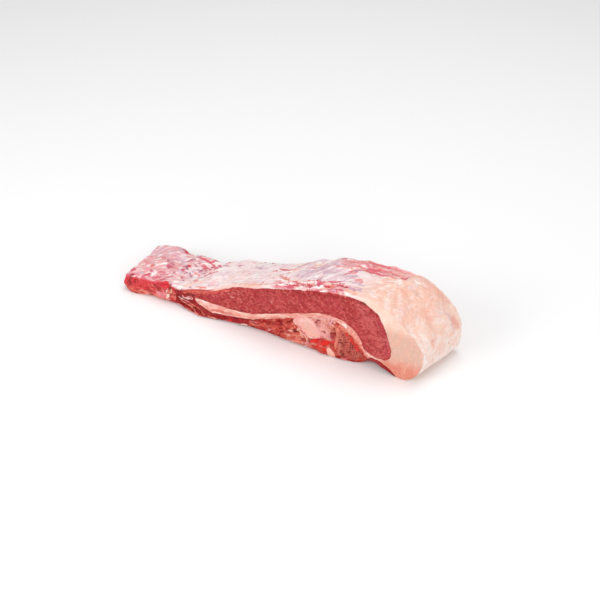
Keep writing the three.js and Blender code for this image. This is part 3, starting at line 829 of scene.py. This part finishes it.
# Lumps of the surface by layer: size, stretch, height
lumps = {
    "all": [(14, (1.6, 1, 1), 0.45), (5, (1.5, 1, 1), 0.22)],
    "fat_cap": [(22, (1, 1, 1), 1.0), (9, (1.6, 1, 1), 0.6), (3.4, (2.0, 0.9, 1), 0.2)],
    "rib_meat": [(5, (1, 1.6, 1), 0.9), (2.6, (1, 1.6, 1), 0.35)],
    "breastbone": [(2.8, (1, 1, 1), 0.5)],
    "end_muscle": [(6, (2.2, 1, 1), 0.8), (2.8, (1.6, 1, 1), 0.3)],
    "intercostal_muscle": [(4.5, (3.5, 1, 1), 0.9), (2.6, (3, 1, 1), 0.35)],
    "tail_muscle": [(4, (2, 1, 1), 0.6)],
    "deep_pectoral": [(3, (1.2, 1, 1), 0.14)],
    "seam_fat": [(6, (2, 1, 1), 0.5)],
    "rib_cartilage": [(7, (1, 1, 1), 0.5)],
    "cartilage_tip": [(4, (1, 1, 1), 0.3)],
}


def shapeBody(whole):
    points, normals = pointsOf(whole), normalsOf(whole)
    x, depth, high = stripPlaces(points)
    layer, border = layersOf(points)
    front, back, outside, under = facings(points, normals)
    findEdge(x, depth, high)
    fold, top = unroll(x, depth, high, front, outside)
    sawn = front + back
    inward = smooth(border, 0, body["reliefFrom"])
    rise = sum(height * fullSwing * cloud(points, size, stretch, seed=1)
               for size, stretch, height in lumps["all"])
    straying = strayings(points)
    for piece in pieces:
        here = layer == piece["node"]
        spots = points[here]
        bumps = sum(height * fullSwing * cloud(spots, size, stretch, seed=2)
                    for size, stretch, height in lumps[piece["node"]])
        strays, soft = straying[:, here], drawing["relief"]
        side = (sawn * (1 - top))[here]
        for stroke in piece["strokes"]:
            bumps = bumps + stroke[7] * side * cover(x[here], high[here], strays, stroke, soft)
        for stroke in piece.get("topStrokes", []):
            bumps = bumps + stroke[7] * top[here] * cover(x[here], fold[here], strays, stroke, soft)
        if piece is outerFat:  # both shares are a half at the edge
            edge = 4 * sawn * outside * smooth(x, *outerFat["ridgeFrom"])
            bumps = bumps + body["ridge"] * edge[here]
        rise[here] += bumps * inward[here]
    rise -= body["groove"] * (1 - smooth(border, 0, 2 * body["grooveHalf"]))
    rise *= 1 - body["flatUnder"] * under
    points = points + mm * rise[:, None] * normals
    points[:, 2] = np.maximum(points[:, 2], 0)
    movePoints(whole, points)


def addAttribute(piece, name, kind, values):
    attribute = piece.data.attributes.new(name, kind, "POINT")
    field = "color" if kind == "FLOAT_COLOR" else "value"
    attribute.data.foreach_set(field, np.ascontiguousarray(values, dtype=float).ravel())


def within(places, limits):  # 1 where the limits hold, falling to 0 past them
    share = np.ones(len(places["x"]))
    for axis, value in places.items():
        if axis + "From" in limits:
            share *= smooth(value, *limits[axis + "From"])
        if axis + "To" in limits:
            share *= 1 - smooth(value, *limits[axis + "To"])
    return share


# Paints a piece: its own shade with washes and zones, and over that the strokes as marks of their own
def paintPiece(piece):
    solid = piece["object"]
    points, normals = pointsOf(solid), normalsOf(solid)
    x, depth, high = stripPlaces(points)
    front, back, outside, under = facings(points, normals)
    fold, top = unroll(x, depth, high, front, outside)
    straying = strayings(points)
    paint = np.tile(linear(piece["shade"]), (len(points), 1))
    marks = np.zeros((len(points), 4))

    def wash(shade, amount):
        nonlocal paint
        paint = paint + (np.array(linear(shade)) - paint) * np.clip(amount, 0, 1)[:, None]

    def mark(shade, amount):
        nonlocal marks
        amount = np.clip(amount, 0, 1)[:, None]
        marks = marks + (np.array(linear(shade) + [1.0]) - marks) * amount

    places = {"x": x, "depth": depth, "high": high, "fold": fold}
    places["lip"] = np.where(normals[:, 1] > 0, -body["overEdge"], fold)
    sides = smooth(np.abs(normals[:, 1]), *outerFat["side"])
    faces = {"all": 1, "outside": outside, "sides": sides, "top": top, "under": under}
    for shade, amount, face, limits in piece.get("washes", []):
        wash(shade, amount * faces[face] * within(places, limits))
    sawn = front + back
    if piece is outerFat:
        sawn = sawn * (1 - top)
        addAttribute(solid, "creamy", "FLOAT", smooth(x, *creamFrom))
    for zone in piece.get("zones", []):
        wash(zone[5], zone[6] * sawn * cover(x, high, straying, zone, drawing["zone"]))
    for stroke in piece["strokes"]:
        mark(stroke[5], stroke[6] * sawn * cover(x, high, straying, stroke, drawing["mark"]))
    for stroke in piece.get("topStrokes", []):
        soft = drawing["mark"] if stroke[4] < drawing["broad"] else drawing["broadMark"]
        mark(stroke[5], stroke[6] * top * cover(x, fold, straying, stroke, soft))
    for zone in piece.get("endZones", []):
        end = outside * smooth(x, *outerFat["endFrom"])
        wash(zone[5], zone[6] * end * cover(depth, high, straying, zone, drawing["endZone"]))
    marks[:, :3] /= np.maximum(marks[:, 3:], 1e-4)
    addAttribute(solid, "paint", "FLOAT_COLOR", np.column_stack([paint, np.ones(len(points))]))
    addAttribute(solid, "marks", "FLOAT_COLOR", np.column_stack([marks[:, :3], np.ones(len(points))]))
    addAttribute(solid, "marked", "FLOAT", marks[:, 3])
    addAttribute(solid, "outside", "FLOAT", outside)


def looseParts(piece):  # the largest comes last
    only(piece)
    bpy.ops.mesh.separate(type="LOOSE")
    return sorted(bpy.context.selected_objects, key=lambda part: len(part.data.vertices))


def keepLargest(piece):
    *others, largest = looseParts(piece)
    for part in others:
        bpy.data.objects.remove(part)
    return largest


# What is left between three layers goes to one of them
def fillGap(filler):
    middle = stripPlaces(pointsOf(filler))[0].mean()
    neighbour = darkMuscle if middle < body["ribsFrom"] else ribMeat if middle < body["footFrom"] else seamFat
    use(neighbour["object"], "BOOLEAN", operation="UNION", object=filler, solver="MANIFOLD")


def cutPieces(whole):
    for piece in cutOrder:
        cutter = makeCutter(piece)
        only(whole)
        bpy.ops.object.duplicate()
        solid = bpy.context.view_layer.objects.active
        use(solid, "BOOLEAN", operation="INTERSECT", object=cutter, solver="MANIFOLD")
        use(whole, "BOOLEAN", operation="DIFFERENCE", object=cutter, solver="MANIFOLD")
        bpy.data.objects.remove(cutter)
        piece["object"] = keepLargest(solid)
    *others, outerFat["object"] = looseParts(whole)
    for part in others:
        if len(part.data.vertices) > body["crumb"]:
            fillGap(part)
        bpy.data.objects.remove(part)
    for piece in (darkMuscle, ribMeat, seamFat):
        piece["object"] = keepLargest(piece["object"])
    for piece in pieces:
        piece["object"].name = piece["node"] + "_flesh"


class shaderValue:
    def __init__(self, paint, socket):
        self.paint, self.socket = paint, socket

    def join(self, operation, *values):
        return self.paint.add("ShaderNodeMath", {"operation": operation}, dict(enumerate(values)))

    def __add__(self, other):
        return self.join("ADD", self, other)

    def __sub__(self, other):
        return self.join("SUBTRACT", self, other)

    def __rsub__(self, other):
        return self.join("SUBTRACT", other, self)

    def __mul__(self, other):
        return self.join("MULTIPLY", self, other)

    __radd__, __rmul__ = __add__, __mul__


class paintBox:
    def __init__(self, name):
        self.material = bpy.data.materials.new(name)
        self.material.use_nodes = True
        self.tree = self.material.node_tree
        self.shader = self.tree.nodes["Principled BSDF"]

    def connect(self, value, target):
        if isinstance(value, shaderValue):
            self.tree.links.new(value.socket, target)
        else:
            target.default_value = value

    def add(self, kind, settings, sockets, output=0):
        node = self.tree.nodes.new(kind)
        for setting, value in settings.items():
            setattr(node, setting, value)
        for socket, value in sockets.items():
            self.connect(value, node.inputs[socket])
        return shaderValue(self, node.outputs[output])

    def mix(self, share, first, second):
        return self.add("ShaderNodeMix", {"data_type": "RGBA"}, {0: share, 6: first, 7: second}, 2)

    def attribute(self, name, output="Fac"):
        return self.add("ShaderNodeAttribute", {"attribute_name": name}, {}, output)

    # A pattern of that size in mm, stretched and turned in degrees, from 0 to 1 between its two levels
    def pattern(self, kind, size, stretch, turn, low, high):
        place = self.add("ShaderNodeTexCoord", {}, {}, "Object")
        rotation = [math.radians(part) for part in turn]
        scale = [mm * size * part for part in stretch]
        spun = self.add("ShaderNodeMapping", {"vector_type": "TEXTURE"},
                        {"Vector": place, "Rotation": rotation, "Scale": scale})
        sockets = {"Vector": spun, "Scale": 1.0}
        if kind == "cloud":
            sockets.update({"Detail": 3.0, "Roughness": 0.6})
            found = self.add("ShaderNodeTexNoise", {}, sockets)
        elif kind == "tint":
            found = self.add("ShaderNodeTexVoronoi", {"feature": "F1"}, sockets, "Color")
            found = self.add("ShaderNodeSeparateColor", {}, {"Color": found})
        else:
            found = self.add("ShaderNodeTexVoronoi", {"feature": "DISTANCE_TO_EDGE"}, sockets, "Distance")
        return self.add("ShaderNodeMapRange", {"interpolation_type": "SMOOTHSTEP"},
                        {"Value": found, "From Min": low, "From Max": high})


def inked(shade):
    return linear(shade) + [1.0]


# Each look has the grain of the flesh, which breaks up the strokes (stretch, turn, how much), veils of a
# shade over the paint (pattern, shade, strength and on some where), bumps (pattern, height in mm), how rough
# and how wet it is, how deep red, green and blue light reach in mm, and how much of it goes under the skin
level = (0, 0, 0)
looks = {
    "deep_muscle": {
        "grain": ((1.2, 1, 1), level, 1.6),
        "veils": [
            ("cloud", 18, (1.6, 1, 1), level, 0.42, 0.62, "leanDark", 0.35),
            ("tint", 3.0, (1, 2, 1), level, 0.4, 0.9, "leanLight", 0.7),
            ("tint", 2.6, (1, 2, 1), level, 0.5, 0.9, "leanDark", 0.75),
            ("cloud", 3.2, (1.2, 1, 1), level, 0.52, 0.62, "leanDark", 0.5),
            ("cloud", 2.6, (1.5, 1, 1), level, 0.57, 0.66, "salmon", 0.4),
        ],
        "bumps": [
            ("cloud", 1.9, (1, 1.5, 1), level, 0.2, 0.8, 0.6),
            ("net", 1.7, (1, 2, 1), level, 0.0, 0.25, 0.12),
        ],
        "rough": (0.32, 0.56), "coat": 0.1, "reach": (2.2, 0.5, 0.4), "under": 0.12,
    },
    "dark_muscle": {
        "grain": ((5, 1, 1), (0, 8, 0), 0.7),
        "veils": [
            ("cloud", 5, (4, 1, 1), (0, 8, 0), 0.46, 0.60, "maroon", 0.55),
            ("cloud", 3, (6, 1, 1), (0, 8, 0), 0.54, 0.64, "lean", 0.45),
            ("cloud", 2.4, (7, 1, 1), (0, 8, 0), 0.61, 0.68, "rim", 0.4),
        ],
        "bumps": [("cloud", 2.0, (5, 1, 1), (0, 16, 0), 0.2, 0.8, 1.0)],
        "rough": (0.2, 0.42), "coat": 0.1, "shine": 0.2, "reach": (2.4, 0.5, 0.4), "under": 0.1,
    },
    "bright_muscle": {
        "grain": ((2.4, 1, 1), (0, 20, 0), 1.4),
        "veils": [
            ("cloud", 6, (2.2, 1, 1), (0, 20, 0), 0.46, 0.60, "blood", 0.7),
            ("cloud", 3.2, (2.5, 1, 1), (0, -25, 0), 0.54, 0.64, "rim", 0.55),
            ("cloud", 2.2, (3, 1, 1), (0, -25, 0), 0.60, 0.68, "palePink", 0.4),
        ],
        "bumps": [("cloud", 2.6, (2, 1, 1), (0, 20, 0), 0.2, 0.8, 1.1)],
        "rough": (0.18, 0.4), "coat": 0.22, "reach": (2.6, 0.6, 0.5), "under": 0.15,
    },
    "rib_meat": {
        "grain": ((1.6, 1, 1), (0, -20, 0), 1.4),
        "veils": [
            ("cloud", 8, (1.5, 1, 1), (0, -20, 0), 0.48, 0.60, "leanDark", 0.5),
            ("cloud", 5, (1.8, 1, 1), (0, -25, 0), 0.53, 0.62, "rim", 0.6),
            ("cloud", 3.2, (1.8, 1, 1), (0, -30, 0), 0.59, 0.67, "salmon", 0.55),
            ("cloud", 3.4, (1.4, 1, 1), (0, 40, 0), 0.60, 0.68, "maroon", 0.6),
        ],
        "bumps": [("cloud", 2.4, (1.3, 1, 1), level, 0.2, 0.8, 1.2)],
        "rough": (0.22, 0.46), "coat": 0.1, "shine": 0.2, "reach": (2.4, 0.6, 0.5), "under": 0.12,
    },
    "spongy_bone": {
        "grain": ((1, 1, 1), level, 1.4),
        "veils": [
            ("cloud", 5, (1, 1, 2.2), (0, 30, 0), 0.47, 0.60, "maroon", 0.65),
            ("net", 3.0, (1.2, 1, 2), (0, 30, 0), 0.16, 0.0, "salmon", 0.6),
            ("cloud", 3.4, (1.6, 1, 1), (0, 50, 0), 0.54, 0.64, "rim", 0.4),
        ],
        "bumps": [("net", 2.6, (1, 1, 1), level, 0.3, 0.0, 0.8)],
        "rough": (0.35, 0.6), "coat": 0.12, "reach": (1.8, 0.5, 0.4), "under": 0.08,
    },
    "cartilage": {
        "grain": ((1, 1, 1), level, 1.4),
        "veils": [
            ("cloud", 6, (1, 1, 1), level, 0.48, 0.62, "pink", 0.5),
            ("cloud", 3, (1, 1, 1), level, 0.54, 0.66, "palePink", 0.55),
            ("cloud", 2.4, (1.4, 1, 1), level, 0.58, 0.68, "salmon", 0.45),
        ],
        "bumps": [("cloud", 3.0, (1, 1, 1), level, 0.2, 0.8, 0.6)],
        "rough": (0.25, 0.42), "coat": 0.35, "reach": (3.0, 1.8, 1.5), "under": 0.25,
    },
    "seam_fat": {
        "grain": ((3, 1, 1), (0, -18, 0), 1.4),
        "veils": [
            ("cloud", 8, (3, 1, 1), (0, -18, 0), 0.46, 0.62, "salmon", 0.5),
            ("cloud", 3.6, (5, 1, 1), (0, -20, 0), 0.50, 0.62, "cream", 0.6),
            ("cloud", 2.8, (5, 1, 1), (0, -16, 0), 0.54, 0.66, "leanPink", 0.5),
            ("cloud", 2.4, (6, 1, 1), (0, -18, 0), 0.60, 0.69, "white", 0.5),
        ],
        "bumps": [("cloud", 2.8, (2.5, 1, 1), level, 0.2, 0.8, 0.8)],
        "rough": (0.28, 0.48), "coat": 0.28, "reach": (3.2, 1.6, 1.2), "under": 0.2,
    },
    "outer_fat": {
        "grain": ((2.4, 0.9, 1), (0, 0, 40), 1.8),
        "veils": [
            ("cloud", 10, (2.4, 0.9, 1), (0, 0, 42), 0.51, 0.64, "lilac", 0.35, "silver"),
            ("cloud", 5, (2.8, 0.9, 1), (0, 0, 48), 0.54, 0.64, "pink", 0.45, "silver"),
            ("cloud", 3.4, (3.5, 0.9, 1), (0, 0, 40), 0.52, 0.62, "white", 0.8, "silver"),
            ("cloud", 2.6, (3.5, 0.9, 1), (0, 0, 50), 0.62, 0.69, "rosy", 0.35, "silver"),
            ("cloud", 14, (1, 1.6, 1), level, 0.47, 0.62, "peach", 0.3, "creamyOut"),
            ("cloud", 9, (1, 2.0, 1.4), level, 0.48, 0.64, "white", 0.4, "creamyOut"),
            ("cloud", 4.4, (1, 2.5, 1.6), level, 0.52, 0.68, "peach", 0.22, "creamyOut"),
            ("cloud", 7, (1, 1, 2), level, 0.48, 0.62, "peach", 0.3, "sawn"),
            ("cloud", 3, (1, 1, 2), level, 0.56, 0.68, "cream", 0.4, "sawn"),
        ],
        "bumps": [
            ("cloud", 3.2, (2.5, 0.9, 1), (0, 0, 42), 0.2, 0.8, 0.8),
            ("cloud", 1.4, (1.5, 1, 1), level, 0.2, 0.8, 0.2),
        ],
        "rough": (0.3, 0.54), "coat": 0.25, "reach": (3.2, 2.0, 1.6), "under": 0.2,
    },
}


# How finely the grain breaks up the strokes and the wet sheen varies, and how sharp the strokes stay
sheen = {
    "grain": ("cloud", 2.6), "grainLevels": (0.34, 0.66), "spread": 1.35, "edge": (0.1, 0.9),
    "wet": ("cloud", 7, (1.4, 1, 1), level, 0.35, 0.65), "coatRough": 0.22, "shine": 0.3,
    "creases": 50,  # degrees
}


def makeFinish(slot, look):
    paint = paintBox(slot)
    colour = paint.attribute("paint", "Color")
    where = {}
    if slot == "outer_fat":
        creamy = paint.attribute("creamy")
        where["silver"] = paint.attribute("outside") * (1 - creamy)
        where["creamyOut"] = paint.attribute("outside") * creamy
        where["sawn"] = creamy - where["creamyOut"]
    for veil in look["veils"]:
        shade, strength, *place = veil[6:]
        amount = where[place[0]] * strength if place else strength
        colour = paint.mix(paint.pattern(*veil[:6]) * amount, colour, inked(shade))
    stretch, turn, ragged = look["grain"]
    grain = paint.pattern(*sheen["grain"], stretch, turn, *sheen["grainLevels"])
    breakUp = grain * ragged - 0.5 * ragged
    marked = paint.attribute("marked")
    low, high = sheen["edge"]
    share = paint.add("ShaderNodeMapRange", {"interpolation_type": "SMOOTHSTEP"}, {
        "Value": marked + marked * (sheen["spread"] - marked) * breakUp, "From Min": low, "From Max": high})
    colour = paint.mix(share, colour, paint.attribute("marks", "Color"))
    height = 0
    for *pattern, rise in look["bumps"]:
        height = height + paint.pattern(*pattern) * rise
    normal = paint.add("ShaderNodeBump", {}, {"Strength": 1.0, "Distance": mm, "Height": height})
    low, high = look["rough"]
    rough = paint.pattern(*sheen["wet"]) * (high - low) + low
    settings = {
        "Base Color": colour, "Normal": normal, "Roughness": rough,
        "Coat Weight": look["coat"], "Coat Roughness": sheen["coatRough"],
        "Subsurface Weight": look["under"], "Subsurface Radius": look["reach"], "Subsurface Scale": mm,
        "Specular IOR Level": look.get("shine", sheen["shine"]),
    }
    for socket, value in settings.items():
        paint.connect(value, paint.shader.inputs[socket])
    return paint.material


whole = makeBody()
print("body", len(whole.data.polygons), "faces")
shapeBody(whole)
print("relief done")
cutPieces(whole)
print("pieces cut:", {piece["node"]: len(piece["object"].data.polygons) for piece in pieces})
finishes = {slot: makeFinish(slot, look) for slot, look in looks.items()}
for piece in pieces:
    solid = piece["object"]
    paintPiece(piece)
    only(solid)
    bpy.ops.object.shade_smooth_by_angle(angle=math.radians(sheen["creases"]))
    solid.data.materials.clear()
    solid.data.materials.append(finishes[piece["slot"]])
    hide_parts(piece["node"])
    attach(solid, "root")
print("pieces painted")

# Floor, lights and camera
studio = {
    "floorSize": 6.0, "floorShade": 0.94, "floorRough": 0.7,
    "sky": 0.55,
    "lights": [  # place, size, power
        ((-0.9, -1.5, 0.9), 1.0, 13.8),
        ((1.2, -1.1, 0.7), 0.8, 7.5),
        ((0.1, 0.3, 1.8), 1.2, 13),
    ],
}
camera = {
    "place": (0.511692, -0.936480, 0.788130),
    "down": 35.46859, "round": 27.6352, "roll": 0.49369,  # degrees
    "lens": 65.29, "near": 0.01,
}

bpy.ops.mesh.primitive_grid_add(x_subdivisions=4, y_subdivisions=4, size=studio["floorSize"])
floor = bpy.context.view_layer.objects.active
floor.name = "floor"
floorPaint = paintBox("floor")
floorPaint.connect([studio["floorShade"]] * 3 + [1.0], floorPaint.shader.inputs["Base Color"])
floorPaint.connect(studio["floorRough"], floorPaint.shader.inputs["Roughness"])
floor.data.materials.append(floorPaint.material)

world = bpy.data.worlds.new("studio")
world.use_nodes = True
background = world.node_tree.nodes["Background"]
background.inputs["Color"].default_value = (1, 1, 1, 1)
background.inputs["Strength"].default_value = studio["sky"]
bpy.context.scene.world = world
for place, size, power in studio["lights"]:
    bpy.ops.object.light_add(type="AREA", location=place)
    light = bpy.context.view_layer.objects.active
    light.data.size = size
    light.data.energy = power
    light.rotation_euler = Vector(place).to_track_quat("Z", "Y").to_euler()

bpy.ops.object.camera_add(location=camera["place"])
view = bpy.context.view_layer.objects.active
turn = Matrix.Rotation(math.radians(camera["round"]), 4, "Z")
tilt = Matrix.Rotation(math.radians(90 - camera["down"]), 4, "X")
roll = Matrix.Rotation(math.radians(camera["roll"]), 4, "Z")
view.rotation_euler = (turn @ tilt @ roll).to_euler()
view.data.lens = camera["lens"]
view.data.clip_start = camera["near"]
bpy.context.scene.camera = view
bpy.context.scene.view_settings.view_transform = "Standard"
